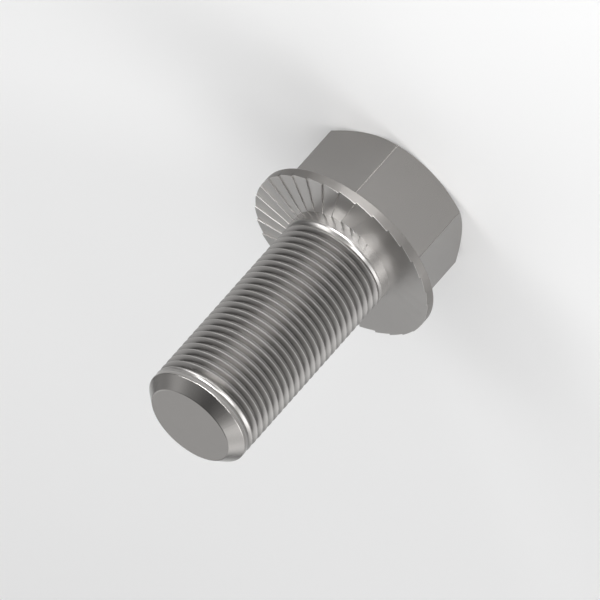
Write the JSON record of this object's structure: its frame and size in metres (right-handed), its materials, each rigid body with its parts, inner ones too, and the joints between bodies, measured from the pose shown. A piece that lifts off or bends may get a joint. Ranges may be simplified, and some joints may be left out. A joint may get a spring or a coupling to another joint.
{
  "type": "flange bolt",
  "caption": "Hexagon-headed flange bolt with a ratchet-toothed bearing face and a fine-threaded shank with a chamfered tip, standing on its head.",
  "frame": {"origin": "on the axis, at the middle of the head's flat top face, on which the bolt stands", "axes": "+Z along the axis from the head to the threaded tip; two corners of the hexagon lie on X and two flats face along Y"},
  "size_m": [0.036, 0.036, 0.0595],
  "materials": {
    "steel": "smooth bright machined steel, bare, slightly warm grey"
  },
  "bodies": {
    "root": {"flange_bolt": "steel"}
  },
  "joints": []
}
